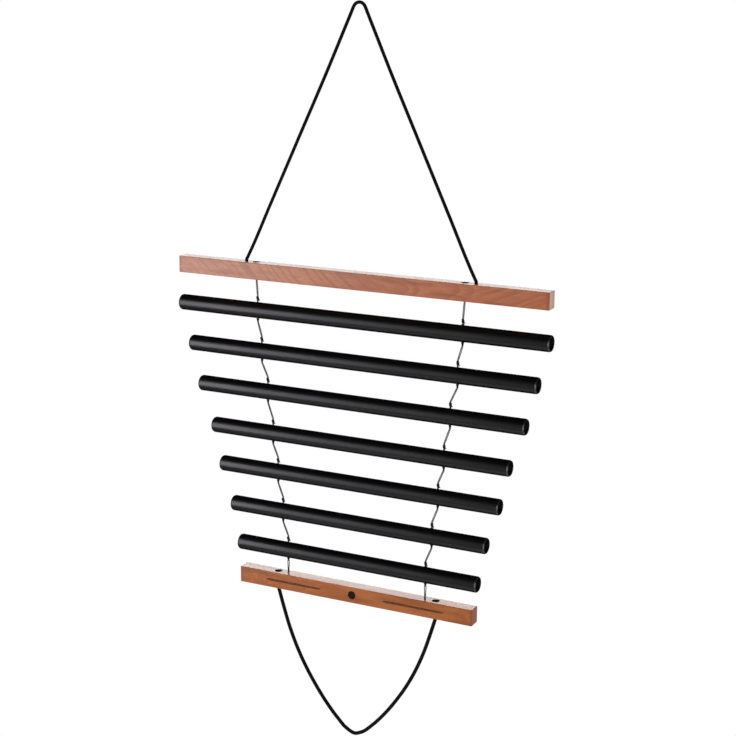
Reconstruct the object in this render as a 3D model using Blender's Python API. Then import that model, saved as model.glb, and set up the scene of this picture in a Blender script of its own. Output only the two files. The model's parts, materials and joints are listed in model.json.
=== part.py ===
"""Hanging tube chimes: tuned metal tubes laced between two wooden bars on two lines of twine.

A black cord hangs the upper bar from a hook. A line of twine runs down each side, from a knot sunk in
the upper bar, through a hole across each tube, to a knot sunk in the lower bar. Under each hole the
twine is knotted again, and the tube rests on that knot. A second cord hangs in a loop below.

+X runs along the tubes, -Y is the front and +Z is up. The origin is where the hook carries the cord.
Each length of twine swings about the knot above it, and each tube swings about the knot over it.
"""

import math
from dataclasses import dataclass

import bmesh
import bpy
from mathutils import Vector
from mathutils.geometry import interpolate_bezier

MM = 0.001

# Space left between solids that touch on the real object
CLEARANCE = 0.3 * MM

# Tubes: a length falls by the square root of the rise in pitch, as on any free bar
TUBE_DIAMETER = 20.0 * MM
TUBE_WALL = 2.0 * MM
LONGEST_TUBE = 500.0 * MM
NOTE_STEPS = (0, 2, 4, 7, 9, 12, 14)  # semitones above the longest tube, a major pentatonic scale
SEMITONES_PER_HALVING = 24  # half the length sounds two octaves higher
END_CHAMFER_LENGTH = 1.8 * MM
END_CHAMFER_DEPTH = 0.9 * MM
TUBE_HOLE_DIAMETER = 2.6 * MM

# Bars
BAR_HEIGHT = 21.0 * MM
BAR_DEPTH = 17.0 * MM
TOP_BAR_LENGTH = 497.0 * MM
BOTTOM_BAR_LENGTH = 326.0 * MM
BAR_EDGE_ROUND = 0.8 * MM
COUNTERBORE_DIAMETER = 9.2 * MM

# Heights: the knots are tied by hand, so no two drops are quite alike
HANG_HEIGHT = 315.0 * MM  # from the upper bar's top face up to the hook
TUBE_DROP = 51.6 * MM
TUBE_DROP_SHARES = (0.977, 1.0, 1.0, 1.031, 0.969, 1.0, 0.992)
BOTTOM_BAR_DROP = 41.6 * MM

# Holes across a tube: the share of its length from its end to the hole. A bar's still points
# are at 0.224
HOLE_INSETS = (0.222, 0.217, 0.219, 0.211, 0.212, 0.206, 0.211)

# Holes in the bars, from the middle of the object, and from a twine hole out to the cord hole
TOP_BAR_TWINE_REACH = 140.5 * MM
TOP_BAR_HOLE_SPACING = 14.0 * MM
BOTTOM_BAR_TWINE_REACH = 96.4 * MM
BOTTOM_BAR_HOLE_SPACING = 14.6 * MM


@dataclass(frozen=True)
class Line:
    """Twine or cord, and the way that its end is held in a bar."""

    diameter: float
    knot_diameter: float
    knot_height: float
    knot_turns: int
    knot_segments: int
    hole_diameter: float
    counterbore_depth: float

    @property
    def radius(self):
        return self.diameter / 2

    @property
    def pivot_gap(self):
        """From a face that the line leaves to the axis that it swings about."""
        return self.radius + CLEARANCE


TWINE = Line(
    diameter=1.6 * MM, knot_diameter=5.0 * MM, knot_height=4.4 * MM, knot_turns=2, knot_segments=8,
    hole_diameter=2.8 * MM, counterbore_depth=7.0 * MM,
)
CORD = Line(
    diameter=4.0 * MM, knot_diameter=8.6 * MM, knot_height=8.2 * MM, knot_turns=2, knot_segments=16,
    hole_diameter=4.8 * MM, counterbore_depth=9.5 * MM,
)

# Twine knots over and under each tube
TUBE_KNOT_DIAMETER = 3.6 * MM
UPPER_KNOT_HEIGHT = 5.4 * MM
UPPER_KNOT_TURNS = 3
UPPER_KNOT_STANDOFF = 2.2 * MM  # bare twine between the tube and the knot over it
LOWER_KNOT_HEIGHT = 3.4 * MM
LOWER_KNOT_TURNS = 2
TURN_CREST = (0.3, 0.7)  # the part of a turn's height that stands at its full girth

# Upper cord, right half, from the hook down to the bar: millimetres across and up from the hook
UPPER_CORD_ROUTE = (
    (0.0, 2.0), (2.4, 1.6), (4.6, 0.5), (6.3, -1.1), (7.2, -2.6), (10.7, -10.1), (15.4, -20.3),
    (40.0, -73.8), (80.0, -157.7), (120.0, -241.5), (149.4, -303.0), (153.6, -310.2),
)
# Lower cord, right half, from its lowest point up to the bar: millimetres across and below the bar
LOWER_CORD_ROUTE = (
    (0.0, -181.8), (11.0, -177.6), (25.0, -165.3), (43.0, -145.0), (60.0, -121.5), (77.4, -92.5),
    (94.6, -54.0), (104.2, -25.0), (110.2, -7.0),
)
CORD_POINT_SPACING = 3 * CORD.diameter

# Fineness
TUBE_SEGMENTS = 36
HOLE_SEGMENTS = 16
TUBE_HOLE_SEGMENTS = 10
LINE_BEVEL_RESOLUTION = 2
LINE_END_RINGS = tuple(math.radians(angle) for angle in (75, 40))  # rings of a line's half-ball end
SMOOTH_ANGLE = math.radians(40)
CUT_OVERRUN = 1.0 * MM  # how far a cutter passes the faces that it cuts
MERGE_DISTANCE = 0.01 * MM

SIDES = (("left", -1), ("right", 1))
ABOVE = 1
BELOW = -1

UPPER_CORD_REACH = TOP_BAR_TWINE_REACH + TOP_BAR_HOLE_SPACING
LOWER_CORD_REACH = BOTTOM_BAR_TWINE_REACH + BOTTOM_BAR_HOLE_SPACING
TUBE_RADIUS = TUBE_DIAMETER / 2
BAR_FACE = BAR_HEIGHT / 2  # from a bar's middle up or down to its face
TUBE_KNOT_TOP = TUBE_RADIUS + UPPER_KNOT_STANDOFF + UPPER_KNOT_HEIGHT
TUBE_SEAT = -TUBE_RADIUS - CLEARANCE  # where the knot under a tube starts


def clear_scene():
    for old in list(bpy.data.objects):
        bpy.data.objects.remove(old, do_unlink=True)


def finish(name, colour, roughness, metallic=0.0):
    material = bpy.data.materials.new(name)
    material.use_nodes = True
    shader = material.node_tree.nodes["Principled BSDF"]
    shader.inputs["Base Color"].default_value = (*colour, 1.0)
    shader.inputs["Roughness"].default_value = roughness
    shader.inputs["Metallic"].default_value = metallic
    material.diffuse_color = (*colour, 1.0)
    return material


def origin_of(thing):
    """Where a hinge or piece stands in the object's frame; nothing here is turned or scaled."""
    spot = Vector((0.0, 0.0, 0.0))
    while thing is not None:
        spot += thing.location
        thing = thing.parent
    return spot


def place(thing, spot, parent):
    """Puts a thing at a spot given in the object's frame, under the hinge that carries it."""
    bpy.context.scene.collection.objects.link(thing)
    thing.parent = parent
    thing.location = spot - origin_of(parent)


def hinge(name, height, parent):
    """An empty on a hinge's axis, which runs along X at this height."""
    empty = bpy.data.objects.new(name, None)
    place(empty, Vector((0.0, 0.0, height)), parent)
    return empty


def add_object(name, data, material, spot, parent):
    thing = bpy.data.objects.new(name, data)
    data.materials.append(material)
    place(thing, spot, parent)
    return thing


def mesh_from(name, shape):
    """Turns a bmesh into mesh data with its faces outwards and its round sides smooth."""
    bmesh.ops.recalc_face_normals(shape, faces=shape.faces)
    mesh = bpy.data.meshes.new(name)
    shape.to_mesh(mesh)
    shape.free()
    mesh.shade_smooth()
    mesh.set_sharp_from_angle(angle=SMOOTH_ANGLE)
    return mesh


def turn_profile(shape, profile, spot, axis, segments):
    """Turns (radius, distance along the axis) points about an axis through spot. A profile that
    starts and ends on the axis, or ends where it starts, gives a closed body."""
    along = Vector(axis)
    out = Vector((0.0, 1.0, 0.0))
    corners = [shape.verts.new(spot + out * radius + along * length) for radius, length in profile]
    runs = [shape.edges.new(pair) for pair in zip(corners, corners[1:])]
    bmesh.ops.spin(
        shape, geom=corners + runs, cent=spot, axis=along, angle=math.tau, steps=segments,
        use_merge=True,
    )
    bmesh.ops.remove_doubles(shape, verts=shape.verts, dist=MERGE_DISTANCE)


def cut(piece, drills, segments):
    """Cuts upright turned holes in a piece; each is a profile and its place along X."""
    shape = bmesh.new()
    for profile, across in drills:
        turn_profile(shape, profile, Vector((across, 0, 0)), (0, 0, 1), segments)
    name = piece.name + "_cutter"
    cutter = bpy.data.objects.new(name, mesh_from(name, shape))
    place(cutter, origin_of(piece), piece)
    cutter.hide_render = True
    cutter.display_type = "WIRE"
    boolean = piece.modifiers.new("holes", "BOOLEAN")
    boolean.operation = "DIFFERENCE"
    boolean.solver = "EXACT"
    boolean.object = cutter


def both_sides(drill, reach):
    return [(drill, -reach), (drill, reach)]


def add_turned_pair(name, profile, reach, height, segments, material, parent):
    """The same turned piece on the left and on the right, at that reach from the middle."""
    for side_name, side in SIDES:
        full_name = f"{name}_{side_name}"
        shape = bmesh.new()
        turn_profile(shape, profile, Vector(), (0, 0, 1), segments)
        spot = Vector((side * reach, 0, height))
        add_object(full_name, mesh_from(full_name, shape), material, spot, parent)


def tube_length(steps):
    return LONGEST_TUBE * 2 ** (-steps / SEMITONES_PER_HALVING)


def add_tube(name, length, reach, height, material, parent):
    """A tube open at both ends, with chamfered rims and a hole across it for each line of twine."""
    bore = TUBE_RADIUS - TUBE_WALL
    rim = TUBE_RADIUS - END_CHAMFER_DEPTH
    end = length / 2
    shoulder = end - END_CHAMFER_LENGTH
    profile = [(bore, -end), (rim, -end), (TUBE_RADIUS, -shoulder), (TUBE_RADIUS, shoulder),
               (rim, end), (bore, end), (bore, -end)]
    shape = bmesh.new()
    turn_profile(shape, profile, Vector(), (1, 0, 0), TUBE_SEGMENTS)
    tube = add_object(name, mesh_from(name, shape), material, Vector((0, 0, height)), parent)
    past = TUBE_RADIUS + CUT_OVERRUN
    hole = TUBE_HOLE_DIAMETER / 2
    drill = [(0, -past), (hole, -past), (hole, past), (0, past)]
    cut(tube, both_sides(drill, reach), TUBE_HOLE_SEGMENTS)


def stepped_drill(line, side):
    """A line's hole right through a bar, with its counterbore in the face above or below."""
    past = BAR_FACE + CUT_OVERRUN
    step = BAR_FACE - line.counterbore_depth
    hole = line.hole_diameter / 2
    wide = COUNTERBORE_DIAMETER / 2
    points = [(0, -past), (hole, -past), (hole, step), (wide, step), (wide, past), (0, past)]
    return [(radius, side * length) for radius, length in points]


def add_bar(name, length, drills, height, material, parent):
    """A square wooden bar with softened edges and stepped holes."""
    shape = bmesh.new()
    bmesh.ops.create_cube(shape, size=1.0)
    bmesh.ops.scale(shape, vec=(length, BAR_DEPTH, BAR_HEIGHT), verts=shape.verts)
    bar = add_object(name, mesh_from(name, shape), material, Vector((0, 0, height)), parent)
    soften = bar.modifiers.new("edges", "BEVEL")
    soften.width = BAR_EDGE_ROUND
    soften.segments = 2
    cut(bar, drills, HOLE_SEGMENTS)


def knot_profile(line, knot_diameter, top, height, turns):
    """The side of a knot wound in a few turns, from its top down, as (radius, height) points."""
    turn = height / turns
    crest = knot_diameter / 2
    waist = (line.radius + 2 * crest) / 3
    points = []
    for number in range(turns):
        start = top - number * turn
        points.append((waist, start))
        points += [(crest, start - share * turn) for share in TURN_CREST]
    points.append((waist, top - height))
    return points


def tube_knots_profile():
    """Twine where it crosses a tube: the knot over it, the run through both walls, the knot under."""
    upper = knot_profile(TWINE, TUBE_KNOT_DIAMETER, TUBE_KNOT_TOP, UPPER_KNOT_HEIGHT, UPPER_KNOT_TURNS)
    lower = knot_profile(TWINE, TUBE_KNOT_DIAMETER, TUBE_SEAT, LOWER_KNOT_HEIGHT, LOWER_KNOT_TURNS)
    neck = [(TWINE.radius, TUBE_KNOT_TOP - UPPER_KNOT_HEIGHT), (TWINE.radius, TUBE_SEAT)]
    return [(0, TUBE_KNOT_TOP), *upper, *neck, *lower, (0, TUBE_SEAT - LOWER_KNOT_HEIGHT)]


def anchor_profile(line, side):
    """A line held in a bar: its knot sits in the counterbore, above or below, and its stub fills
    the hole as far as the face opposite."""
    seat = BAR_FACE - line.counterbore_depth + CLEARANCE
    top = seat + line.knot_height
    knot = knot_profile(line, line.knot_diameter, top, line.knot_height, line.knot_turns)
    stub = [(line.radius, seat), (line.radius, -BAR_FACE)]
    points = [(0, top), *knot, *stub, (0, -BAR_FACE)]
    return [(radius, side * length) for radius, length in points]


def heading(before, here, after):
    """The direction of a smooth curve at one of its points, from the points on each side."""
    back = here - before
    on = after - here
    return (back * (on.length / back.length) + on * (back.length / on.length)) / (back.length + on.length)


def smooth_curve(points, spacing):
    """Points about a spacing apart on a smooth curve through a route."""
    route = [Vector(point) for point in points]
    route = [2 * route[0] - route[1], *route, 2 * route[-1] - route[-2]]
    line = [route[1]]
    for before, start, end, after in zip(route, route[1:], route[2:], route[3:]):
        length = (end - start).length
        leave = start + heading(before, start, end) * (length / 3)
        arrive = end - heading(start, end, after) * (length / 3)
        steps = max(1, round(length / spacing))
        line += interpolate_bezier(start, leave, arrive, end, steps + 1)[1:]
    return line


def cord_run(right_half):
    """A whole cord's points, out of its right half in millimetres given from the middle."""
    right = [Vector((x, 0, z)) * MM for x, z in right_half]
    left = [Vector((-spot.x, 0, spot.z)) for spot in reversed(right[1:])]
    return smooth_curve(left + right, CORD_POINT_SPACING)


def rounded_ends(run, radius):
    """The run's points with a share of the full radius for each, past both ends in a half ball."""
    cap = [(math.sin(angle), math.cos(angle)) for angle in LINE_END_RINGS]
    before = (run[0] - run[1]).normalized() * radius
    after = (run[-1] - run[-2]).normalized() * radius
    head = [(run[0] + before * out, share) for out, share in cap]
    tail = [(run[-1] + after * out, share) for out, share in reversed(cap)]
    return head + [(spot, 1.0) for spot in run] + tail


def add_line(name, run, line, material, spot=Vector(), parent=None):
    """Cord or twine along a run of points, rounded at both ends."""
    data = bpy.data.curves.new(name, "CURVE")
    data.dimensions = "3D"
    data.bevel_depth = line.radius
    data.bevel_resolution = LINE_BEVEL_RESOLUTION
    data.use_fill_caps = True
    points = rounded_ends(run, line.radius)
    spline = data.splines.new("POLY")
    spline.points.add(len(points) - 1)
    for target, (point, share) in zip(spline.points, points):
        target.co = point.to_4d()
        target.radius = share
    spline.use_smooth = True
    add_object(name, data, material, spot, parent)


def add_twine(name, top, bottom, material, parent):
    """The bare twine of both sides from one level down to the next. top and bottom are each a
    reach from the middle and the height of a pivot."""
    for side_name, side in SIDES:
        start = Vector((side * top[0], 0.0, top[1]))
        run = Vector((side * bottom[0], 0.0, bottom[1])) - start
        add_line(f"{name}_{side_name}", [Vector(), run / 2, run], TWINE, material, start, parent)


def add_upper_bar(wood, cord_black, twine_dark):
    """The upper bar with the knots sunk in it. Gives its height and the hinge that carries it."""
    height = -HANG_HEIGHT - BAR_FACE
    carrier = hinge("top_bar_hinge", -HANG_HEIGHT + CORD.pivot_gap, None)
    drills = both_sides(stepped_drill(CORD, BELOW), UPPER_CORD_REACH)
    drills += both_sides(stepped_drill(TWINE, ABOVE), TOP_BAR_TWINE_REACH)
    add_bar("top_bar", TOP_BAR_LENGTH, drills, height, wood, carrier)
    add_turned_pair("upper_cord_knots", anchor_profile(CORD, BELOW), UPPER_CORD_REACH, height,
                    CORD.knot_segments, cord_black, carrier)
    add_turned_pair("top_bar_twine_knots", anchor_profile(TWINE, ABOVE), TOP_BAR_TWINE_REACH, height,
                    TWINE.knot_segments, twine_dark, carrier)
    return height, carrier


def add_lower_bar(height, carrier, wood, cord_black, twine_dark):
    """The lower bar with the knots sunk in it."""
    drills = both_sides(stepped_drill(CORD, ABOVE), LOWER_CORD_REACH)
    drills += both_sides(stepped_drill(TWINE, BELOW), BOTTOM_BAR_TWINE_REACH)
    add_bar("bottom_bar", BOTTOM_BAR_LENGTH, drills, height, wood, carrier)
    add_turned_pair("bottom_bar_twine_knots", anchor_profile(TWINE, BELOW), BOTTOM_BAR_TWINE_REACH,
                    height, TWINE.knot_segments, twine_dark, carrier)
    add_turned_pair("lower_cord_knots", anchor_profile(CORD, ABOVE), LOWER_CORD_REACH, height,
                    CORD.knot_segments, cord_black, carrier)


def build():
    clear_scene()
    wood = finish("oiled_hardwood", (0.42, 0.17, 0.085), 0.5)
    black = finish("black_anodised", (0.012, 0.011, 0.013), 0.38, 0.6)
    cord_black = finish("cord_black", (0.010, 0.009, 0.009), 0.8)
    twine_dark = finish("twine_dark", (0.030, 0.024, 0.021), 0.85)

    end = (UPPER_CORD_REACH / MM, (CORD.pivot_gap - HANG_HEIGHT) / MM)
    add_line("upper_cord", cord_run([*UPPER_CORD_ROUTE, end]), CORD, cord_black)

    height, carrier = add_upper_bar(wood, cord_black, twine_dark)
    leaves = (TOP_BAR_TWINE_REACH, height - BAR_FACE - TWINE.pivot_gap)

    levels = zip(NOTE_STEPS, TUBE_DROP_SHARES, HOLE_INSETS)
    for number, (steps, drop_share, inset) in enumerate(levels, start=1):
        height -= TUBE_DROP * drop_share
        length = tube_length(steps)
        reach = length / 2 - length * inset
        arrives = (reach, height + TUBE_KNOT_TOP + TWINE.pivot_gap)
        swing = hinge(f"twine_{number}_hinge", leaves[1], carrier)
        add_twine(f"twine_{number}", leaves, arrives, twine_dark, swing)
        carrier = hinge(f"tube_{number}_hinge", arrives[1], swing)
        add_tube(f"tube_{number}", length, reach, height, black, carrier)
        add_turned_pair(f"tube_{number}_knots", tube_knots_profile(), reach, height,
                        TWINE.knot_segments, twine_dark, carrier)
        leaves = (reach, height + TUBE_SEAT - LOWER_KNOT_HEIGHT - TWINE.pivot_gap)

    number = len(NOTE_STEPS) + 1
    height -= BOTTOM_BAR_DROP
    arrives = (BOTTOM_BAR_TWINE_REACH, height + BAR_FACE + TWINE.pivot_gap)
    swing = hinge(f"twine_{number}_hinge", leaves[1], carrier)
    add_twine(f"twine_{number}", leaves, arrives, twine_dark, swing)
    carrier = hinge("bottom_bar_hinge", arrives[1], swing)
    add_lower_bar(height, carrier, wood, cord_black, twine_dark)

    # The loop's points are given from the bar's underside, and its pivot hangs a little under that
    pivot = height - BAR_FACE - CORD.pivot_gap
    gap = CORD.pivot_gap / MM
    loop = [(x, z + gap) for x, z in LOWER_CORD_ROUTE] + [(LOWER_CORD_REACH / MM, 0.0)]
    add_line("lower_cord", cord_run(loop), CORD, cord_black, Vector((0, 0, pivot)),
             hinge("lower_cord_hinge", pivot, carrier))


build()
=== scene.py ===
"""Tube chimes: seven black tubes laced on two lines of twine between two oiled wooden bars, hung
from a braided cord, with a second cord in a loop below.

+X runs along the tubes, -Y is the front and +Z is up. Lengths are in metres, and MM is one millimetre.
"""

import json
import math
from contextlib import contextmanager

import bmesh
import bpy
import numpy as np
from mathutils import Matrix, Vector
from mathutils.geometry import interpolate_bezier


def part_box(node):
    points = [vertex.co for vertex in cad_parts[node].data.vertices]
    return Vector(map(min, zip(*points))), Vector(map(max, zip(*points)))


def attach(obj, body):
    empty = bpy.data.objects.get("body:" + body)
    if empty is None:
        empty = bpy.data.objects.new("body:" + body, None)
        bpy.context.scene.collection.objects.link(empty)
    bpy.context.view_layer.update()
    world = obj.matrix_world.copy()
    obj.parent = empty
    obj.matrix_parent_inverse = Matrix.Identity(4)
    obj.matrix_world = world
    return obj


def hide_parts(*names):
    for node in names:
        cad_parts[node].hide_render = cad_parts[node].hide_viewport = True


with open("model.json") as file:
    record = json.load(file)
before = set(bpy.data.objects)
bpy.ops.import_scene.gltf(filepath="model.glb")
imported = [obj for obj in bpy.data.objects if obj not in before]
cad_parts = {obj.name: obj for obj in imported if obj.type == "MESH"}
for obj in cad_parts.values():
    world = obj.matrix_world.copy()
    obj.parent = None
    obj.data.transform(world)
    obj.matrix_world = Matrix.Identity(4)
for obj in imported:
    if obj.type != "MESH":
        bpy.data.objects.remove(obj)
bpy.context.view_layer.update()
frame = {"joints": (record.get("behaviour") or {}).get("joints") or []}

MM = 0.001
SIDES = (("left", -1), ("right", 1))
TUBES = range(1, 8)
SPANS = range(1, 9)

# Camera: where it stands, how far it is turned, tipped down and leant, and its lens
CAMERA_SPOT = (0.879801, -1.741700, 0.049035)
CAMERA_TURN = 0.4608441793
CAMERA_TIP = 0.2425689177
CAMERA_LEAN = 0.0084976187
CAMERA_LENS = 80.613

# Cord
CORD_DIAMETER = 4.0 * MM
LOOP_CORD_DIAMETER = 4.6 * MM
CORD_HOLE = 4.8 * MM
CORD_COUNTERBORE_DEPTH = 9.5 * MM
CORD_KNOT_GIRTH = 8.6 * MM
CORD_KNOT_HEIGHT = 8.2 * MM
BRAID_STRANDS = 8
BRAID_PITCH = 12.0 * MM

# Twine: two strands side by side, each of two plies. The solids have one plain line in their place.
SOLID_TWINE_DIAMETER = 1.6 * MM
TWINE_HOLE = 2.8 * MM
TWINE_COUNTERBORE_DEPTH = 7.0 * MM
TWINE_KNOT_HEIGHT = 4.4 * MM
STRAND_RADIUS = 0.64 * MM
STRAND_OFFSET = 0.72 * MM
LACED_STRAND_RADIUS = 0.66 * MM
SUNK_STRAND_RADIUS = 0.62 * MM
NECK_STRAND_RADIUS = 0.5 * MM
PLY_PITCH = 2.4 * MM

# Where the knots over and under a tube begin and end, up from its middle
OVER_KNOT = (17.0 * MM, 13.2 * MM)
UNDER_KNOT = (-10.9 * MM, -13.3 * MM)

# Bars
BAR_HALF_HEIGHT = 10.5 * MM
BAR_EDGE_ROUND = 0.8 * MM
COUNTERBORE_DIAMETER = 9.2 * MM
CLEARANCE = 0.3 * MM

# Tubes
TUBE_RADIUS = 10.0 * MM
BORE_RADIUS = 8.0 * MM
END_CHAMFER_LENGTH = 1.8 * MM
END_CHAMFER_DEPTH = 0.9 * MM
END_EDGE_ROUND = 0.28 * MM
TUBE_HOLE = 2.6 * MM

# Routes, right half: the upper cord from the hook down, the lower cord from its lowest point up
UPPER_CORD_ROUTE = (
    (0.0, 0.0020), (0.0024, 0.0016), (0.0046, 0.0005), (0.0063, -0.0011), (0.0072, -0.0026),
    (0.0107, -0.0101), (0.0154, -0.0203), (0.0400, -0.0738), (0.0800, -0.1577), (0.1200, -0.2415),
    (0.1494, -0.3030), (0.1545, -0.3127),
)
LOWER_CORD_ROUTE = (
    (0.0, -0.1818), (0.0110, -0.1776), (0.0250, -0.1653), (0.0430, -0.1450), (0.0600, -0.1215),
    (0.0774, -0.0925), (0.0946, -0.0540), (0.1042, -0.0250), (0.1110, -0.0023),
)


def swing_height(joint_name):
    """The height of the axis that a part swings about."""
    return next(joint["pos_m"][2] for joint in frame["joints"] if joint["name"] == joint_name)


def middle(node):
    """The middle of a solid's box."""
    low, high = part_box(node)
    return (low + high) / 2


# Camera


def place_camera():
    bpy.ops.object.camera_add()
    camera = bpy.context.object
    camera.name = "studio_camera"
    camera.data.sensor_width = 36.0
    camera.data.lens = CAMERA_LENS
    camera.data.clip_start = 0.05
    camera.data.clip_end = 50.0
    turn = Matrix.Rotation(CAMERA_TURN, 4, "Z")
    tip = Matrix.Rotation(math.pi / 2 - CAMERA_TIP, 4, "X")
    lean = Matrix.Rotation(CAMERA_LEAN, 4, "Z")
    camera.matrix_world = Matrix.Translation(CAMERA_SPOT) @ turn @ tip @ lean
    bpy.context.scene.camera = camera


# Handling a piece on the bench


def put_down():
    """Leaves nothing selected."""
    if bpy.context.object and bpy.context.object.mode != "OBJECT":
        bpy.ops.object.mode_set(mode="OBJECT")
    bpy.ops.object.select_all(action="DESELECT")


def pick_up(*pieces):
    """Selects these pieces alone. The first is the active one."""
    put_down()
    for piece in pieces:
        piece.select_set(True)
    bpy.context.view_layer.objects.active = pieces[0]


def name_new(name):
    """Names the piece that a primitive has just made, with its place and size in its mesh."""
    piece = bpy.context.object
    piece.name = name
    piece.data.name = name
    bpy.ops.object.transform_apply(location=True, rotation=True, scale=True)
    return piece


@contextmanager
def shaping(piece, kind="FACE"):
    """Edit mode on one piece, with nothing selected in it to begin with."""
    pick_up(piece)
    bpy.ops.object.mode_set(mode="EDIT")
    bpy.ops.mesh.select_mode(type=kind)
    bpy.ops.mesh.select_all(action="DESELECT")
    yield
    bpy.ops.object.mode_set(mode="OBJECT")


def mark(piece, kind, wanted):
    """Selects the piece's faces, edges or vertices that are wanted, and no others."""
    bpy.ops.mesh.select_all(action="DESELECT")
    shape = bmesh.from_edit_mesh(piece.data)
    for part in getattr(shape, kind):
        if wanted(part):
            part.select_set(True)
    shape.select_flush_mode()
    bmesh.update_edit_mesh(piece.data)


def draw_out(x, y, z):
    """Draws the marked faces out by this much."""
    bpy.ops.mesh.extrude_region_move(TRANSFORM_OT_translate={"value": (x, y, z)})


def apply_modifier(piece, kind, **settings):
    pick_up(piece)
    modifier = piece.modifiers.new(kind.lower(), kind)
    for setting, value in settings.items():
        setattr(modifier, setting, value)
    bpy.ops.object.modifier_apply(modifier=modifier.name)


def face_outwards(piece):
    """Turns all of the piece's faces outwards."""
    with shaping(piece):
        bpy.ops.mesh.select_all(action="SELECT")
        bpy.ops.mesh.normals_make_consistent(inside=False)


def cut_away(piece, cutters):
    """Cuts the cutters' shapes out of the piece. Their faces keep the cutters' finish."""
    for cutter in cutters:
        face_outwards(cutter)
    face_outwards(piece)
    for cutter in cutters:
        apply_modifier(piece, "BOOLEAN", operation="DIFFERENCE", solver="EXACT", object=cutter,
                       material_mode="TRANSFER")
        bpy.data.objects.remove(cutter)
    face_outwards(piece)


def make_one(name, pieces):
    """Joins pieces in one object."""
    pick_up(*pieces)
    bpy.ops.object.join()
    piece = bpy.context.object
    piece.name = name
    piece.data.name = name
    return piece


def copy_piece(piece, name, offset):
    """A copy with its own mesh, moved by the offset."""
    twin = piece.copy()
    twin.data = piece.data.copy()
    twin.name = name
    twin.data.name = name
    bpy.context.scene.collection.objects.link(twin)
    twin.data.transform(Matrix.Translation(offset))
    return twin


def dress(piece, material, body, nodes):
    """Gives a finished piece its material and the body that it rides on, and hides the solids that it
    stands for.
    """
    if not piece.data.materials:
        piece.data.materials.append(material)
    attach(piece, body)
    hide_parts(*nodes)


# Finishes


def new_finish(name, **sockets):
    """A material whose shader has these values on its own sockets."""
    material = bpy.data.materials.new(name)
    material.use_nodes = True
    tree = material.node_tree
    shader = tree.nodes["Principled BSDF"]
    for socket, value in sockets.items():
        shader.inputs[socket.replace("_", " ")].default_value = value
    return material, tree, shader


def wire(tree, shader, **sockets):
    """Joins values to the shader's own sockets."""
    for socket, value in sockets.items():
        tree.links.new(value, shader.inputs[socket.replace("_", " ")])


def add_node(tree, kind, inputs=None, **settings):
    """A node with its settings, and its inputs each given a value or joined to a socket."""
    node = tree.nodes.new("ShaderNode" + kind)
    for setting, value in settings.items():
        setattr(node, setting, value)
    for socket, value in (inputs or {}).items():
        if isinstance(value, bpy.types.NodeSocket):
            tree.links.new(value, node.inputs[socket])
        else:
            node.inputs[socket].default_value = value
    return node


def arithmetic(tree, operation, first, second=0.0):
    return add_node(tree, "Math", {0: first, 1: second}, operation=operation).outputs[0]


def times(tree, first, second):
    return arithmetic(tree, "MULTIPLY", first, second)


def between(tree, value, start, end, low=0.0, high=1.0):
    """Maps a value from start..end to low..high, held at both ends and eased between."""
    inputs = {"Value": value, "From Min": start, "From Max": end, "To Min": low, "To Max": high}
    return add_node(tree, "MapRange", inputs, interpolation_type="SMOOTHSTEP").outputs["Result"]


def blend_values(tree, share, first, second):
    return add_node(tree, "Mix", {0: share, 2: first, 3: second}).outputs[0]


def blend_colours(tree, share, first, second):
    node = add_node(tree, "Mix", {0: share}, data_type="RGBA")
    for socket, value in ((6, first), (7, second)):
        if isinstance(value, bpy.types.NodeSocket):
            tree.links.new(value, node.inputs[socket])
        else:
            node.inputs[socket].default_value = (*value, 1.0)
    return node.outputs[2]


def placed(tree, source, scale=(1, 1, 1), turn=(0, 0, 0), shift=(0, 0, 0)):
    """Coordinates moved, turned and scaled for one pattern."""
    inputs = {"Vector": source, "Scale": scale, "Rotation": turn, "Location": shift}
    return add_node(tree, "Mapping", inputs).outputs[0]


def distance_from_axis(tree, where, across):
    """How far a place is from an axis through the origin. across is 1 in the directions that count."""
    flat = add_node(tree, "VectorMath", {0: where, 1: across}, operation="MULTIPLY").outputs[0]
    return add_node(tree, "VectorMath", {0: flat}, operation="LENGTH").outputs["Value"]


def noise(tree, where, scale, detail=2.0, roughness=0.5):
    inputs = {"Vector": where, "Scale": scale, "Detail": detail, "Roughness": roughness}
    return add_node(tree, "TexNoise", inputs).outputs["Fac"]


def grain(tree, where, spots, detail=2.0, roughness=0.5, turn=(0, 0, 0)):
    """Noise with its own number of spots to the metre in each direction."""
    return noise(tree, placed(tree, where, scale=spots, turn=turn), 1.0, detail, roughness)


def bump(tree, height, depth, under=None):
    """A relief of this depth out of a height from 0 to 1, laid over another one if that is given."""
    inputs = {"Height": height, "Distance": depth, "Strength": 1.0}
    if under is not None:
        inputs["Normal"] = under
    return add_node(tree, "Bump", inputs).outputs[0]


def facing_along(tree, coordinates):
    """How squarely a face looks along the bar or tube: 1 on an end, 0 on a side."""
    facing = add_node(tree, "SeparateXYZ", {0: coordinates["Normal"]}).outputs["X"]
    return arithmetic(tree, "ABSOLUTE", facing)


def growth_rings(tree, distance, spacing, unevenness=0.5, width=0.65):
    """Dark lines of late wood, unevenly spaced, out of the distance from the pith. width is the share
    of the spacing over which each one darkens."""
    drift_pace = 0.37
    noise_spread = 0.2
    darkest = 0.9
    loose = add_node(tree, "CombineXYZ", {0: times(tree, distance, drift_pace / spacing)}).outputs[0]
    drift = times(tree, noise(tree, loose, 1.0, roughness=0.6), unevenness / noise_spread)
    even = arithmetic(tree, "DIVIDE", distance, spacing)
    phase = arithmetic(tree, "FRACT", arithmetic(tree, "ADD", even, drift))
    darkening = between(tree, phase, darkest - width, darkest)
    return arithmetic(tree, "SUBTRACT", darkening, between(tree, phase, darkest, 1.0))


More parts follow.
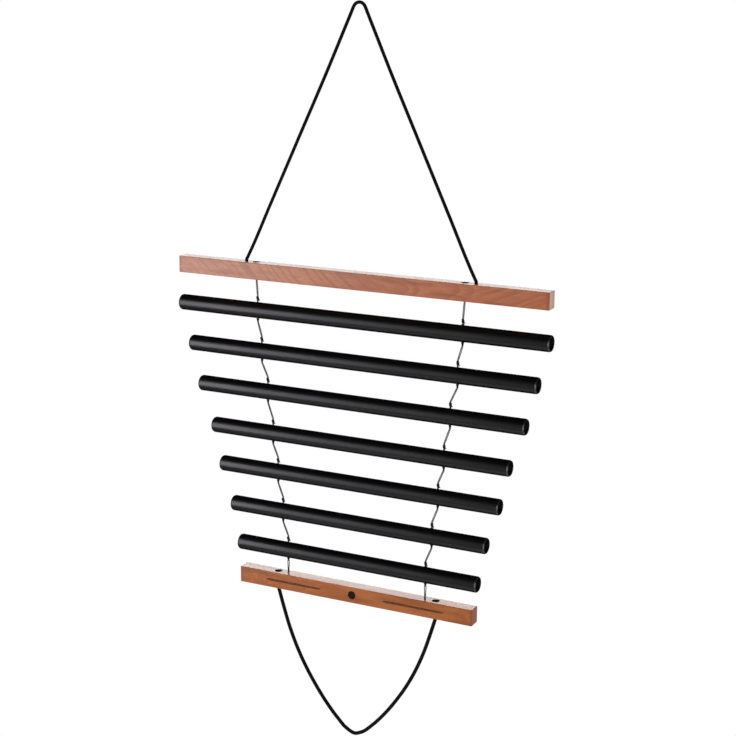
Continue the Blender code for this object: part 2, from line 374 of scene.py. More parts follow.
def end_grain(tree, spot, across, dark, end_tones, highlight_edge):
    """The colour of a bar's sawn end: growth lines, and a painted highlight that makes it paler in front of
    a given edge.
    """
    tone = grain(tree, spot, (10.0, 1400.0, 900.0), detail=3.0, roughness=0.6)
    heart = blend_colours(tree, tone, *end_tones)
    # Painted highlight: the front of the end grain is coloured paler and creamier than the rest.
    front_highlight = blend_colours(tree, tone, (0.62, 0.40, 0.29), (0.86, 0.61, 0.48))
    behind_edge = between(tree, across, highlight_edge - 1.0 * MM, highlight_edge + 1.0 * MM)
    wood = blend_colours(tree, behind_edge, front_highlight, heart)
    return blend_colours(tree, times(tree, growth_rings(tree, across, 2.9 * MM), 0.45), wood, dark)


def oiled_hardwood(name, half_length, pith, lean, tones, left_tone, end_tones, highlight_edge, figures=()):
    """Oiled cherry: soft flame figure about a leaning pith, pores, more oil soaked in towards the ends,
    and end grain on them. tones are dark, mid and pale, left_tone tints the left half, and end_tones
    are dark and pale. The end grain is painted paler in front of a given edge across it, a painted
    highlight along its front. Each figure is slanted lines over part of the length: their slant,
    spacing, width and strength, and where along the bar they start and are full."""
    dark, mid, pale = tones
    material, tree, shader = new_finish(name, Specular_IOR_Level=0.5)
    coordinates = add_node(tree, "TexCoord").outputs
    spot = coordinates["Object"]
    along, across, _ = add_node(tree, "SeparateXYZ", {0: spot}).outputs

    # The figure is drawn on coordinates that wander, so that its lines do too
    wander = add_node(tree, "TexNoise", {"Vector": placed(tree, spot, scale=(14.0, 45.0, 45.0)),
                                         "Scale": 1.0, "Detail": 3.0}).outputs["Color"]
    moved = add_node(tree, "VectorMath", {0: wander, 1: (0.012, 0.007, 0.007), 2: spot},
                     operation="MULTIPLY_ADD").outputs[0]
    from_pith = distance_from_axis(tree, placed(tree, moved, turn=lean, shift=pith), (0.0, 1.0, 1.0))
    rings = times(tree, growth_rings(tree, from_pith, 4.4 * MM, unevenness=0.8, width=0.8), 0.75)
    for slant, spacing, width, strength, start, full in figures:
        leant = placed(tree, moved, turn=(0.0, slant, 0.0))
        leant_along = add_node(tree, "SeparateXYZ", {0: leant}).outputs["X"]
        slanted = growth_rings(tree, leant_along, spacing, unevenness=0.8, width=width)
        rings = blend_values(tree, between(tree, along, start, full), rings, times(tree, slanted, strength))

    cloud = grain(tree, moved, (16.0, 60.0, 60.0))
    band = grain(tree, moved, (15.0, 150.0, 150.0), turn=(0.0, math.radians(3), 0.0))
    flecks = grain(tree, spot, (120.0, 300.0, 300.0), turn=(0.0, 0.6, 0.0))
    streak = grain(tree, moved, (22.0, 900.0, 900.0), detail=3.0, roughness=0.6)
    pore = grain(tree, spot, (90.0, 2200.0, 2200.0))

    colour = blend_colours(tree, between(tree, cloud, 0.30, 0.62), mid, pale)
    colour = blend_colours(tree, between(tree, along, 0.12, -0.20, 0.0, 0.6), colour, left_tone)
    colour = blend_colours(tree, between(tree, streak, 0.45, 0.80, 0.0, 0.45), colour, dark)
    colour = blend_colours(tree, between(tree, band, 0.46, 0.72, 0.0, 0.55), colour, dark)
    faint = between(tree, cloud, 0.35, 0.65, 0.30, 0.65)
    colour = blend_colours(tree, times(tree, rings, faint), colour, dark)
    lit = times(tree, between(tree, flecks, 0.62, 0.72, 0.0, 0.5), between(tree, along, 0.05, -0.05))
    colour = blend_colours(tree, lit, colour, tuple(1.35 * part for part in pale))
    deep = between(tree, pore, 0.60, 0.70)
    colour = blend_colours(tree, times(tree, deep, 0.35), colour, tuple(0.4 * part for part in dark))
    from_middle = arithmetic(tree, "ABSOLUTE", along)
    soaked = between(tree, from_middle, half_length - 6.0 * MM, half_length, 0.0, 0.7)
    colour = blend_colours(tree, soaked, colour, dark)

    end = between(tree, facing_along(tree, coordinates), 0.75, 0.95)
    colour = blend_colours(tree, end, colour, end_grain(tree, spot, across, dark, end_tones, highlight_edge))
    roughness = blend_values(tree, end, between(tree, streak, 0.3, 0.7, 0.34, 0.42), 0.7)
    lines = bump(tree, streak, 0.006 * MM)
    wire(tree, shader, Base_Color=colour, Roughness=roughness,
         Normal=bump(tree, times(tree, deep, -1.0), 0.012 * MM, lines))
    return material


def burnt_wood(name, deepest, palest):
    """Wood darkened by a hot tool, with a dull crust. The walls of the drilled holes are given it as well,
    which makes them dark.
    """
    material, tree, shader = new_finish(name, Roughness=0.8, Specular_IOR_Level=0.15)
    spot = add_node(tree, "TexCoord").outputs["Object"]
    crust = grain(tree, spot, (400.0, 1200.0, 1200.0), detail=4.0, roughness=0.65)
    colour = blend_colours(tree, between(tree, crust, 0.35, 0.75), deepest, palest)
    wire(tree, shader, Base_Color=colour, Normal=bump(tree, crust, 0.2 * MM))
    return material


def black_anodised():
    """Satin black anodised aluminium, with faint drawing lines along the tube and a painted highlight on
    the chamfers.
    """
    material, tree, shader = new_finish("black_anodised", Metallic=1.0,
                                        Specular_Tint=(0.03, 0.03, 0.03, 1.0))
    coordinates = add_node(tree, "TexCoord").outputs
    spot = coordinates["Object"]
    cloud = grain(tree, spot, (9.0, 40.0, 40.0), detail=3.0, roughness=0.6)
    drawn = grain(tree, spot, (20.0, 2500.0, 2500.0))
    grit = noise(tree, spot, 2600.0, roughness=0.6)
    colour = blend_colours(tree, between(tree, cloud, 0.3, 0.7),
                           (0.036, 0.0345, 0.0365), (0.041, 0.0395, 0.0415))
    facing = facing_along(tree, coordinates)
    # Painted highlight: the chamfers at the tube's ends are coloured paler, for the light that they catch.
    painted_chamfer_highlight = arithmetic(tree, "SUBTRACT", between(tree, facing, 0.15, 0.35),
                         between(tree, facing, 0.70, 0.95))
    colour = blend_colours(tree, painted_chamfer_highlight, colour, (0.088, 0.086, 0.089))
    lines = bump(tree, drawn, 0.004 * MM)
    wire(tree, shader, Base_Color=colour, Roughness=between(tree, drawn, 0.25, 0.75, 0.35, 0.41),
         Normal=bump(tree, grit, 0.008 * MM, lines))
    return material


def fibre(name, dark, light, roughness, specular, sheen, turns, lobes):
    """Spun fibre: its own map runs around it in U and along it, in metres, in V. turns is how often
    its hairs go around it in a metre, and lobes how many bundles of hairs lie side by side."""
    material, tree, shader = new_finish(name, Roughness=roughness, Sheen_Weight=sheen,
                                        Sheen_Roughness=0.45, Specular_IOR_Level=specular)
    run = add_node(tree, "UVMap", uv_map="run").outputs[0]
    around, along, _ = add_node(tree, "SeparateXYZ", {0: run}).outputs
    twist = arithmetic(tree, "ADD", times(tree, along, turns), times(tree, around, lobes))
    spun = add_node(tree, "CombineXYZ", {0: times(tree, twist, 9.0), 1: times(tree, along, 900.0)})
    hairs = noise(tree, spun.outputs[0], 1.0, detail=3.0, roughness=0.6)
    tint = noise(tree, add_node(tree, "TexCoord").outputs["Object"], 140.0)
    colour = blend_colours(tree, between(tree, hairs, 0.35, 0.7), dark, light)
    colour = blend_colours(tree, between(tree, tint, 0.35, 0.75, 0.0, 0.4), colour, dark)
    wire(tree, shader, Base_Color=colour, Normal=bump(tree, hairs, 0.08 * MM))
    return material


# Lines of fibre


def heading(before, here, after):
    """The direction of a smooth curve at one of its points, from the points on each side."""
    back = here - before
    on = after - here
    both = back.length + on.length
    return (back * (on.length / back.length) + on * (back.length / on.length)) / both


def smooth_run(points, spacing):
    """Points about a spacing apart on a smooth curve through a route."""
    route = [Vector(point) for point in points]
    route = [2 * route[0] - route[1], *route, 2 * route[-1] - route[-2]]
    run = [route[1]]
    for before, start, end, after in zip(route, route[1:], route[2:], route[3:]):
        length = (end - start).length
        leave = start + heading(before, start, end) * (length / 3)
        arrive = end - heading(start, end, after) * (length / 3)
        steps = max(1, round(length / spacing))
        run += interpolate_bezier(start, leave, arrive, end, steps + 1)[1:]
    return run


def both_halves(right_half, height):
    """A whole route from its right half, at this height: the left half is its mirror image."""
    right = [Vector((x, 0.0, z + height)) for x, z in right_half]
    return [Vector((-spot.x, 0.0, spot.z)) for spot in reversed(right[1:])] + right


def coil(centre, radius, top, bottom, turns, start=0.0, steps_per_turn=18):
    """Points down a coil round an upright line."""
    steps = round(turns * steps_per_turn)
    points = []
    for step in range(steps + 1):
        share = step / steps
        angle = start + share * turns * math.tau
        points.append(Vector((centre.x + radius * math.cos(angle), centre.y + radius * math.sin(angle),
                              centre.z + top + (bottom - top) * share)))
    return points


def frames_along(run):
    """The run's directions, and two directions across it that turn as little as they can."""
    spots = np.array([tuple(spot) for spot in run])
    heads = np.gradient(spots, axis=0)
    heads /= np.linalg.norm(heads, axis=1)[:, None]
    side = np.cross(heads[0], (0.0, 1.0, 0.0))
    if np.linalg.norm(side) < 0.2:
        side = np.cross(heads[0], (0.0, 0.0, 1.0))
    sides = []
    for head in heads:
        side = side - head * (side @ head)
        side = side / np.linalg.norm(side)
        sides.append(side)
    sides = np.array(sides)
    return spots, heads, sides, np.cross(heads, sides)


def chart_line(mesh, faces, ring, marks):
    """The line's own map: around it in U, and along it, in metres, in V. marks say how far along the
    line each ring of its vertices is."""
    first_pole = len(marks) * ring
    places = []
    for face in faces:
        # Where a face closes the ring, its last corners are at 1 and not back at 0
        numbers = [corner % ring for corner in face if corner < first_pole]
        closes = ring - 1 in numbers and 0 in numbers
        for corner in face:
            if corner >= first_pole:
                places.append((0.5, marks[0] if corner == first_pole else marks[-1]))
            else:
                number = corner % ring
                around = ring if closes and number == 0 else number
                places.append((around / ring, marks[corner // ring]))
    chart = mesh.uv_layers.new(name="run")
    chart.data.foreach_set("uv", np.array(places).ravel())


def lay_line(name, run, radius, ring, relief, end_rings=3):
    """A closed line of fibre along a run, with half balls on its ends. relief gives the share of
    the radius from the angle around the line and the distance along it."""
    spots, heads, sides, ups = frames_along(run)
    along = np.concatenate([[0.0], np.cumsum(np.linalg.norm(np.diff(spots, axis=0), axis=1))])
    angles = np.arange(ring) / ring * math.tau
    share = relief(angles[None, :], along[:, None])
    across = sides[:, None] * np.cos(angles)[None, :, None] + ups[:, None] * np.sin(angles)[None, :, None]
    rows = list(spots[:, None] + across * (radius * share)[:, :, None])
    marks = list(along)
    for number in range(1, end_rings + 1):
        lift = math.pi / 2 * number / (end_rings + 1)
        reach, girth = math.sin(lift) * radius, math.cos(lift) * radius
        low_row = spots[0] - heads[0] * reach + across[0] * (girth * share[0])[:, None]
        high_row = spots[-1] + heads[-1] * reach + across[-1] * (girth * share[-1])[:, None]
        rows = [low_row, *rows, high_row]
        marks = [-reach, *marks, along[-1] + reach]
    poles = [spots[0] - heads[0] * radius, spots[-1] + heads[-1] * radius]
    points = np.vstack([np.concatenate(rows), poles])

    first_pole = len(rows) * ring
    top = first_pole - ring
    around = [(number, (number + 1) % ring) for number in range(ring)]
    faces = [(low + here, low + on, low + ring + on, low + ring + here)
             for low in range(0, top, ring) for here, on in around]
    faces += [(first_pole, on, here) for here, on in around]
    faces += [(first_pole + 1, top + here, top + on) for here, on in around]

    mesh = bpy.data.meshes.new(name)
    mesh.from_pydata(points.tolist(), [], faces)
    chart_line(mesh, faces, ring, marks)
    mesh.update()
    piece = bpy.data.objects.new(name, mesh)
    bpy.context.scene.collection.objects.link(piece)
    face_outwards(piece)
    bpy.ops.object.shade_smooth()
    return piece


# Cord


def braid(angle, along):
    """The relief of a round braid: two sets of strands, each over and under the other in turn."""
    turn = BRAID_STRANDS * angle / math.tau
    rise = BRAID_STRANDS * along / BRAID_PITCH
    one, other = turn + rise, turn - rise
    over = 0.5 + 0.5 * np.cos(math.pi * (np.floor(one) + other))
    under = 0.5 - 0.5 * np.cos(math.pi * (one + np.floor(other)))
    crown_one = np.sqrt(np.abs(np.sin(math.pi * one)))
    crown_other = np.sqrt(np.abs(np.sin(math.pi * other)))
    height = np.maximum(crown_one * (0.35 + 0.65 * over), crown_other * (0.35 + 0.65 * under))
    return 0.995 + 0.045 * height


def add_cord(name, right_half, height, diameter, body, node, material):
    """A braided cord from hole to hole along its route."""
    points = both_halves(right_half, height)
    run = smooth_run(points, 0.375 * MM)
    cord = lay_line(name, run, diameter / 2, ring=32, relief=braid)
    dress(cord, material, body, [node])


def add_cord_knot(name, node, side, bar, up, pivot, diameter, material):
    """A cord's end knotted in a bar's counterbore. up is 1 where the counterbore opens upwards."""
    reach = middle(node).x
    bar_height = middle(bar).z
    seat = up * (BAR_HALF_HEIGHT - CORD_COUNTERBORE_DEPTH + CLEARANCE)
    low = seat + up * CORD_DIAMETER / 2
    high = seat + up * (CORD_KNOT_HEIGHT - CORD_DIAMETER / 2)
    core_run = smooth_run([(reach, 0, pivot), (reach, 0, bar_height + seat * 0.5),
                           (reach, 0, bar_height + low)], 0.5 * MM)
    core = lay_line(name, core_run, diameter / 2, ring=24, relief=braid)
    wraps = coil(Vector((reach, 0, bar_height)), (CORD_KNOT_GIRTH - CORD_DIAMETER) / 2, low, high,
                 turns=1.9, start=0.6 * side, steps_per_turn=24)
    last = wraps[-1]
    wraps += [last.lerp(Vector((reach, 0, last.z)), 0.55) + Vector((0, 0, up * 0.3 * MM)),
              Vector((reach - (last.x - reach) * 0.35, -last.y * 0.35, last.z + up * 0.1 * MM))]
    wound = lay_line(name + "_wound", smooth_run(wraps, 0.6 * MM), CORD_DIAMETER / 2, ring=24, relief=braid)
    dress(make_one(name, [core, wound]), material, bar, [node])


# Bars


def drill_pair(knots, hole, depth, up):
    """The same stepped hole for the left and the right one of a pair of knots: where it is, its
    diameter, the counterbore's depth, and 1 where the counterbore opens upwards."""
    return [(side * middle(f"{knots}_right").x, hole, depth, up) for _, side in SIDES]


def stepped_cutter(spot, hole, depth, up, bar_height, hole_wall_dark):
    """One drill for a bar: the hole right through, and the counterbore at its upper or lower face."""
    past = 1.0 * MM
    lip = 0.35 * MM
    step = up * (BAR_HALF_HEIGHT - depth)
    start = -up * (BAR_HALF_HEIGHT + past)
    put_down()
    bpy.ops.mesh.primitive_cylinder_add(vertices=48, radius=hole / 2, depth=abs(step - start),
                                        location=(spot, 0.0, bar_height + (start + step) / 2))
    drill = name_new("drill")
    at = (spot, 0.0, bar_height + step)
    wider = COUNTERBORE_DIAMETER / hole
    flared = (COUNTERBORE_DIAMETER + 2 * (lip + past)) / COUNTERBORE_DIAMETER
    with shaping(drill):
        mark(drill, "faces", lambda face: face.normal.z * up > 0.9)
        bpy.ops.mesh.extrude_region_move()
        bpy.ops.transform.resize(value=(wider, wider, 1.0), center_override=at)
        draw_out(0, 0, up * (depth - lip))
        draw_out(0, 0, up * (lip + past))
        bpy.ops.transform.resize(value=(flared, flared, 1.0), center_override=at)
    # The hole's walls are coloured dark brown, darker than the bar's faces.
    drill.data.materials.append(hole_wall_dark)
    return drill


def burnt_line_cutter(start, end, height, front, sear):
    """A long shallow groove with tapered ends."""
    half_width = 1.45 * MM
    depth = 0.5 * MM
    taper = 9.0 * MM
    put_down()
    bpy.ops.mesh.primitive_uv_sphere_add(segments=24, ring_count=48, radius=1.0,
                                         location=(start + taper, front, height),
                                         rotation=(0.0, math.pi / 2, 0.0),
                                         scale=(half_width, depth, taper))
    groove = name_new("groove")
    with shaping(groove, "VERT"):
        mark(groove, "verts", lambda corner: corner.co.x > start + taper + 0.1 * MM)
        bpy.ops.transform.translate(value=(end - start - 2 * taper, 0.0, 0.0))
    groove.data.materials.append(sear)
    return groove


def burnt_dot_cutter(spot, radius, height, front, char):
    """A shallow round dimple."""
    put_down()
    bpy.ops.mesh.primitive_uv_sphere_add(segments=48, ring_count=24, radius=1.0,
                                         location=(spot, front - 0.2 * MM, height),
                                         rotation=(math.pi / 2, 0.0, 0.0),
                                         scale=(radius, radius, 0.9 * MM))
    dimple = name_new("dimple")
    dimple.data.materials.append(char)
    return dimple


def add_bar(name, node, drills, wood, hole_wall_dark, lines=(), dots=()):
    """A bar with rounded edges, stepped holes, and lines and dots burnt in its front."""
    low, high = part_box(node)
    centre = (low + high) / 2
    put_down()
    bpy.ops.mesh.primitive_cube_add(size=1.0, location=centre, scale=high - low)
    bar = name_new(name)
    bar.data.materials.append(wood)
    with shaping(bar, "EDGE"):
        bpy.ops.mesh.select_all(action="SELECT")
        bpy.ops.mesh.bevel(offset=BAR_EDGE_ROUND, segments=4, profile=0.5)
    cutters = [stepped_cutter(*drill, centre.z, hole_wall_dark) for drill in drills]
    cutters += [burnt_line_cutter(start, end, centre.z, low.y, sear) for start, end, sear in lines]
    cutters += [burnt_dot_cutter(spot, radius, centre.z, low.y, char) for spot, radius, char in dots]
    cut_away(bar, cutters)
    pick_up(bar)
    bpy.ops.object.shade_smooth_by_angle(angle=math.radians(35))
    apply_modifier(bar, "WEIGHTED_NORMAL", keep_sharp=True)
    dress(bar, wood, node, [node])


def add_bars():
    char = burnt_wood("charred_wood", (0.004, 0.0025, 0.002), (0.022, 0.010, 0.008))
    # Dark brown for the walls of the drilled holes.
    hole_wall_dark = burnt_wood("scorched_wood", (0.022, 0.010, 0.007), (0.095, 0.042, 0.026))
    sear = burnt_wood("seared_wood", (0.065, 0.021, 0.010), (0.190, 0.064, 0.028))
    upper_wood = oiled_hardwood(
        "upper_bar_cherry", half_length=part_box("top_bar")[1].x,
        pith=(0.0, 0.030, 0.330), lean=(0.0, math.radians(3), math.radians(7)),
        tones=((0.20, 0.046, 0.013), (0.318, 0.088, 0.032), (0.385, 0.120, 0.049)),
        left_tone=(0.345, 0.132, 0.070),
        end_tones=((0.60, 0.31, 0.26), (0.83, 0.50, 0.46)), highlight_edge=-0.5 * MM,
        figures=((math.radians(48), 9.5 * MM, 0.3, 1.0, 0.07, -0.03),
                 (math.radians(-68), 8.5 * MM, 0.8, 0.65, 0.13, 0.19)))
    lower_wood = oiled_hardwood(
        "lower_bar_cherry", half_length=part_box("bottom_bar")[1].x,
        pith=(0.0, 0.038, 0.728), lean=(0.0, math.radians(-1), math.radians(2)),
        tones=((0.19, 0.043, 0.006), (0.300, 0.076, 0.008), (0.355, 0.103, 0.016)),
        left_tone=(0.325, 0.088, 0.012),
        end_tones=((0.23, 0.055, 0.023), (0.48, 0.150, 0.075)), highlight_edge=-20.0 * MM)

    add_bar("upper_bar_wood", "top_bar",
            [*drill_pair("upper_cord_knots", CORD_HOLE, CORD_COUNTERBORE_DEPTH, -1),
             *drill_pair("top_bar_twine_knots", TWINE_HOLE, TWINE_COUNTERBORE_DEPTH, 1)],
            upper_wood, hole_wall_dark)
    add_bar("lower_bar_wood", "bottom_bar",
            [*drill_pair("lower_cord_knots", CORD_HOLE, CORD_COUNTERBORE_DEPTH, 1),
             *drill_pair("bottom_bar_twine_knots", TWINE_HOLE, TWINE_COUNTERBORE_DEPTH, -1)],
            lower_wood, hole_wall_dark,
            lines=((-125.0 * MM, -45.0 * MM, sear), (42.0 * MM, 125.0 * MM, sear)),
            dots=((-1.0 * MM, 5.6 * MM, char),))


# Tubes


def cross_drill(reach, height, finish):
    """A drill right across a tube, flared so that it breaks the edges of both holes."""
    length = 19.2 * MM
    flare_length = 1.4 * MM
    flare = 1.6
    put_down()
    bpy.ops.mesh.primitive_cylinder_add(vertices=32, radius=TUBE_HOLE / 2, depth=length,
                                        location=(reach, 0.0, height))
    drill = name_new("drill")
    with shaping(drill):
        for up in (-1, 1):
            mark(drill, "faces", lambda face: face.normal.z * up > 0.9)
            draw_out(0, 0, up * flare_length)
            bpy.ops.transform.resize(value=(flare, flare, 1.0), center_override=(reach, 0.0, height))
    drill.data.materials.append(finish)
    return drill


def add_tube(number, material):
    """An open tube with chamfered ends, and a hole across it for each line of twine."""
    node = f"tube_{number}"
    low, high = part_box(node)
    centre = (low + high) / 2
    length = high.x - low.x
    straight = length - 2 * END_CHAMFER_LENGTH
    rim = (TUBE_RADIUS - END_CHAMFER_DEPTH) / TUBE_RADIUS
    put_down()
    bpy.ops.mesh.primitive_cylinder_add(vertices=96, radius=TUBE_RADIUS, depth=straight,
                                        location=centre, rotation=(0.0, math.pi / 2, 0.0))
    tube = name_new(f"chime_tube_{number}")
    with shaping(tube):
        for end in (-1, 1):
            mark(tube, "faces", lambda face: face.normal.x * end > 0.9)
            draw_out(end * END_CHAMFER_LENGTH, 0.0, 0.0)
            bpy.ops.transform.resize(value=(1.0, rim, rim), center_override=centre)
            bpy.ops.mesh.inset(thickness=TUBE_RADIUS * rim - BORE_RADIUS)
        mark(tube, "faces", lambda face: len(face.verts) > 8)
        bpy.ops.mesh.bridge_edge_loops()
        bpy.ops.mesh.select_mode(type="EDGE")

        def goes_round_an_end(edge):
            first, last = (corner.co - centre for corner in edge.verts)
            upright = abs(first.x - last.x) < 0.01 * MM
            return upright and abs(first.x) > length / 2 - 2 * END_CHAMFER_LENGTH

        mark(tube, "edges", goes_round_an_end)
        bpy.ops.mesh.bevel(offset=END_EDGE_ROUND, segments=3, profile=0.5)

    # The tube is cut across on both sides of each hole, which keeps the faces around it short
    reaches = [middle(f"tube_{number}_knots_{side_name}").x for side_name, _ in SIDES]
    beside = 2.5 * MM
    with shaping(tube):
        for reach in reaches:
            for cut in (reach - beside, reach + beside):
                bpy.ops.mesh.select_all(action="SELECT")
                bpy.ops.mesh.bisect(plane_co=(cut, 0.0, 0.0), plane_no=(1.0, 0.0, 0.0))
    cutters = [cross_drill(reach, centre.z, material) for reach in reaches]
    tube.data.materials.append(material)
    cut_away(tube, cutters)
    pick_up(tube)
    bpy.ops.object.shade_smooth_by_angle(angle=math.radians(30))
    dress(tube, material, f"tube_{number}", [node])


# Twine and its knots


def two_ply(angle, along):
    """The relief of two plies twisted together."""
    return 0.76 + 0.24 * np.abs(np.cos(angle - math.tau * along / PLY_PITCH / 2)) ** 0.7


def lay_strand(name, run, radius):
    """One strand of twine."""
    return lay_line(name, run, radius, ring=10, relief=two_ply, end_rings=2)


def doubled(name, top, bottom, spread_top=1.0, spread_bottom=1.0, bow=0.0):
    """Two strands side by side from one point down to another, bowed apart half way."""
    strands = []
    for side in (-1, 1):
        start = Vector(top) + Vector((side * STRAND_OFFSET * spread_top, 0, 0))
        end = Vector(bottom) + Vector((side * STRAND_OFFSET * spread_bottom, 0, 0))
        apart = Vector((side * STRAND_OFFSET * bow, 0, 0))
        steps = max(6, round((end - start).length / (0.35 * MM)))
        run = [start.lerp(end, step / steps) + apart * math.sin(math.pi * step / steps)
               for step in range(steps + 1)]
        strands.append(lay_strand(f"{name}_{side}", run, STRAND_RADIUS))
    return strands


def add_tube_knots(number, side_name, side, upper_pivot, lower_pivot, material):
    """The knot over a tube, the run through it and the knot that it rests on."""
    node = f"tube_{number}_knots_{side_name}"
    name = f"laced_knots_{number}_{side_name}"
    reach = middle(node).x
    spot = Vector((reach, 0.0, middle(f"tube_{number}").z))
    parts = doubled(name, (reach, 0, upper_pivot), (reach, 0, lower_pivot),
                    spread_top=0.8, spread_bottom=0.8)

    # The upper knot leans outwards, and its end sticks out in front
    lean = (1.0 if side < 0 else 0.5) * MM
    over = coil(spot - Vector((lean / 2, 0, 0)), 1.25 * MM, *OVER_KNOT, turns=3.3, start=0.7 + number)
    for step, point in enumerate(over):
        point.x += lean * step / (len(over) - 1)
    first, last = over[0], over[-1]
    over.insert(0, Vector((reach, 0.3 * MM, first.z + 0.3 * MM)))
    hook = Vector((reach + lean / 2, -1.5 * MM, last.z + 0.2 * MM))
    over += [hook, hook + Vector((1.5, 0.1, 0.1)) * MM, hook + Vector((2.7, 0.3, -0.4)) * MM]
    parts.append(lay_strand(name + "_over", smooth_run(over, 0.32 * MM), LACED_STRAND_RADIUS))

    # The lower knot draws in towards its foot
    under = coil(spot, 1.35 * MM, *UNDER_KNOT, turns=2.4, start=2.0 + 2 * number)
    for step, point in enumerate(under):
        draw_in = 0.5 * step / (len(under) - 1)
        point.xy = point.xy.lerp(spot.xy, draw_in)
    parts.append(lay_strand(name + "_under", smooth_run(under, 0.32 * MM), LACED_STRAND_RADIUS))
    dress(make_one(name, parts), material, f"tube_{number}", [node])


def add_twine_span(number, side_name, side, material, wound):
    """The two bare strands between two knots. The last span ends in a wound neck over the bar."""
    node = f"twine_{number}_{side_name}"
    name = f"twine_span_{number}_{side_name}"
    last = number == SPANS[-1]
    low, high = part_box(node)
    radius = SOLID_TWINE_DIAMETER / 2
    left, right = low.x + radius, high.x - radius
    outer, inner = (right, left) if side > 0 else (left, right)
    top = swing_height(f"twine_{number}_swing")
    bottom = swing_height("bottom_bar_swing" if last else f"tube_{number}_swing")
    spread_top, spread_bottom, bow = (1.5, 0.5, 0.1) if last else (0.85, 0.85, 0.2)
    parts = doubled(name, (outer, 0, top), (inner, 0, bottom), spread_top, spread_bottom, bow)
    for part in parts:
        part.data.materials.append(material)
    if last:
        neck_run = coil(Vector((inner, 0.0, bottom)), 0.75 * MM, 5.6 * MM, -0.1 * MM, turns=5.5)
        neck = lay_strand(name + "_neck", smooth_run(neck_run, 0.32 * MM), NECK_STRAND_RADIUS)
        neck.data.materials.append(wound)
        parts.append(neck)
    dress(make_one(name, parts), material, f"twine_{number}", [node])


def add_sunk_twine_knots(name, node, bar, up, pivot, material):
    """Twine knotted in a bar's counterbores: the knot on the left, and a copy of it on the right. up
    is 1 where the counterbores open upwards."""
    left, right = (middle(f"{node}_{side_name}").x for side_name, _ in SIDES)
    bar_height = middle(bar).z
    seat = up * (BAR_HALF_HEIGHT - TWINE_COUNTERBORE_DEPTH + CLEARANCE)
    low = seat + up * 0.6 * MM
    high = seat + up * (TWINE_KNOT_HEIGHT - 0.6 * MM)
    halfway = (low + high) / 2
    parts = doubled(name, (left, 0, pivot), (left, 0, bar_height + seat + up * 1.0 * MM))
    spot = Vector((left, 0.0, bar_height))
    wraps = coil(spot, 1.7 * MM, low, halfway, turns=1.4, start=1.0, steps_per_turn=16)
    wraps += coil(spot, 1.0 * MM, halfway + up * 0.3 * MM, high, turns=1.6, start=3.4, steps_per_turn=16)
    wraps.append(Vector((left - 1.6 * MM, 0.8 * MM, bar_height + high + up * 0.2 * MM)))
    parts.append(lay_strand(name + "_wound", smooth_run(wraps, 0.35 * MM), SUNK_STRAND_RADIUS))
    knot = make_one(f"{name}_left", parts)
    twin = copy_piece(knot, f"{name}_right", (right - left, 0.0, 0.0))
    dress(knot, material, bar, [f"{node}_left"])
    dress(twin, material, bar, [f"{node}_right"])


# Studio


def add_floor():
    """A pale floor far below, which fades into the white background towards its edge."""
    put_down()
    bpy.ops.mesh.primitive_circle_add(vertices=96, radius=1.0, fill_type="NGON", location=(0.0, 0.0, -1.5))
    floor = name_new("studio_floor")
    material, tree, shader = new_finish("pale_floor", Roughness=0.9, Specular_IOR_Level=0.2)
    spot = add_node(tree, "TexCoord").outputs["Object"]
    speck = noise(tree, spot, 30.0, detail=3.0)
    wire(tree, shader, Base_Color=blend_colours(tree, speck, (0.90, 0.90, 0.89), (0.93, 0.93, 0.925)))
    from_middle = distance_from_axis(tree, spot, (1.0, 1.0, 0.0))
    fade = times(tree, between(tree, from_middle, 0.30, 0.95),
                 add_node(tree, "LightPath").outputs["Is Camera Ray"])
    white = add_node(tree, "Emission", {"Color": (1.0, 1.0, 1.0, 1.0), "Strength": 1.0})
    faded = add_node(tree, "MixShader", {0: fade, 1: shader.outputs[0], 2: white.outputs[0]})
    wire(tree, tree.nodes["Material Output"], Surface=faded.outputs[0])
    floor.data.materials.append(material)


def add_surroundings():
    """A white background. Soft light comes evenly from all around, and shiny faces mirror the white
    behind the chimes, and otherwise grey below and near black above."""
    world = bpy.data.worlds.new("studio")
    bpy.context.scene.world = world
    world.use_nodes = True
    tree = world.node_tree
    tree.nodes.clear()
    rays = add_node(tree, "LightPath").outputs
    direction = add_node(tree, "SeparateXYZ", {0: add_node(tree, "TexCoord").outputs["Generated"]}).outputs
    behind = times(tree, between(tree, direction["Y"], 0.0, 0.35),
                   between(tree, direction["Z"], 0.60, 0.42))
    seen = arithmetic(tree, "MAXIMUM", rays["Is Camera Ray"], rays["Is Transmission Ray"])
    seen = arithmetic(tree, "MAXIMUM", seen, times(tree, rays["Is Glossy Ray"], behind))
    mirrored = between(tree, direction["Z"], 0.35, -0.25, 0.01, 0.26)
    level = blend_values(tree, rays["Is Glossy Ray"], 0.58, mirrored)
    glow = add_node(tree, "Background", {"Color": (0.97, 0.98, 1.0, 1.0), "Strength": level})
    white = add_node(tree, "Background", {"Color": (1.0, 1.0, 1.0, 1.0), "Strength": 1.0})
    both = add_node(tree, "MixShader", {0: seen, 1: glow.outputs[0], 2: white.outputs[0]})
    wire(tree, add_node(tree, "OutputWorld"), Surface=both.outputs[0])


def add_softbox(name, spot, size, power):
    """A soft lamp aimed at the middle of the chimes, out of the camera's sight."""
    put_down()
    bpy.ops.object.light_add(type="AREA", location=spot)
    lamp = bpy.context.object
    lamp.name = name
    lamp.data.shape = "RECTANGLE"
    lamp.data.size, lamp.data.size_y = size
    lamp.data.energy = power
    aim = Vector((0.0, 0.0, -0.5)) - Vector(spot)
    lamp.rotation_euler = aim.to_track_quat("-Z", "Y").to_euler()
    lamp.visible_camera = False


# All together


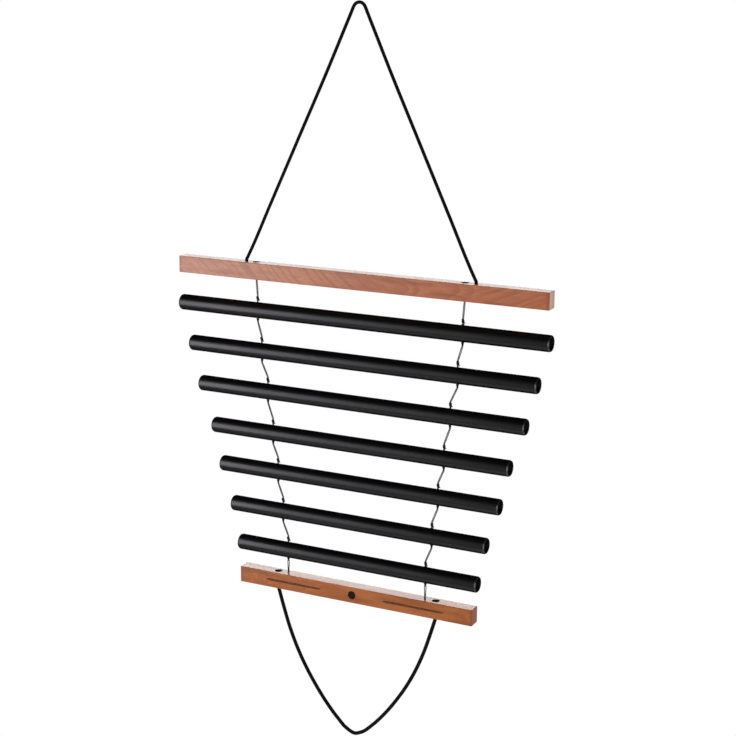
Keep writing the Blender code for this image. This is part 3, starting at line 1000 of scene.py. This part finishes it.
def build():
    place_camera()

    cord_black = fibre("black_cord_braid", (0.0015, 0.0010, 0.0010), (0.005, 0.0038, 0.0036),
                       roughness=0.85, specular=0.12, sheen=0.0, turns=83.0, lobes=8.0)
    twine_grey = fibre("grey_brown_twine", (0.060, 0.046, 0.044), (0.205, 0.162, 0.157),
                       roughness=0.85, specular=0.25, sheen=0.1, turns=420.0, lobes=1.0)
    twine_dark = fibre("dark_waxed_twine", (0.008, 0.006, 0.006), (0.030, 0.022, 0.020),
                       roughness=0.7, specular=0.2, sheen=0.0, turns=420.0, lobes=1.0)
    add_cord("braided_hanging_cord", UPPER_CORD_ROUTE, 0.0, CORD_DIAMETER,
             "hanging_cord", "upper_cord", cord_black)
    add_cord("braided_loop_cord", LOWER_CORD_ROUTE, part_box("bottom_bar")[0].z,
             LOOP_CORD_DIAMETER, "lower_cord", "lower_cord", cord_black)
    add_bars()

    anodised = black_anodised()
    for number in TUBES:
        add_tube(number, anodised)
        upper = swing_height(f"tube_{number}_swing")
        lower = swing_height(f"twine_{number + 1}_swing")
        for side_name, side in SIDES:
            add_tube_knots(number, side_name, side, upper, lower, twine_dark)
    for number in SPANS:
        for side_name, side in SIDES:
            add_twine_span(number, side_name, side, twine_grey, twine_dark)

    add_sunk_twine_knots("upper_twine_anchor", "top_bar_twine_knots", "top_bar", 1,
                         swing_height("twine_1_swing"), twine_grey)
    add_sunk_twine_knots("lower_twine_anchor", "bottom_bar_twine_knots", "bottom_bar", -1,
                         swing_height("bottom_bar_swing"), twine_grey)
    for side_name, side in SIDES:
        add_cord_knot(f"upper_cord_anchor_{side_name}", f"upper_cord_knots_{side_name}", side,
                      "top_bar", -1, swing_height("top_bar_swing"), CORD_DIAMETER, cord_black)
        add_cord_knot(f"lower_cord_anchor_{side_name}", f"lower_cord_knots_{side_name}", side,
                      "bottom_bar", 1, swing_height("lower_cord_swing"), LOOP_CORD_DIAMETER, cord_black)

    add_floor()
    add_surroundings()
    add_softbox("tall_softbox", (-1.045, -1.127, -0.446), (0.453, 1.278), 15.0)
    add_softbox("back_softbox", (-0.75, 1.6, 0.25), (1.4, 0.7), 9.6)
    add_softbox("low_back_softbox", (-0.46, 0.95, -0.43), (0.9, 0.16), 3.2)
    add_softbox("edge_softbox", (1.22, -1.44, -0.45), (0.35, 1.7), 10.0)
    bpy.context.scene.view_settings.view_transform = "Standard"


build()
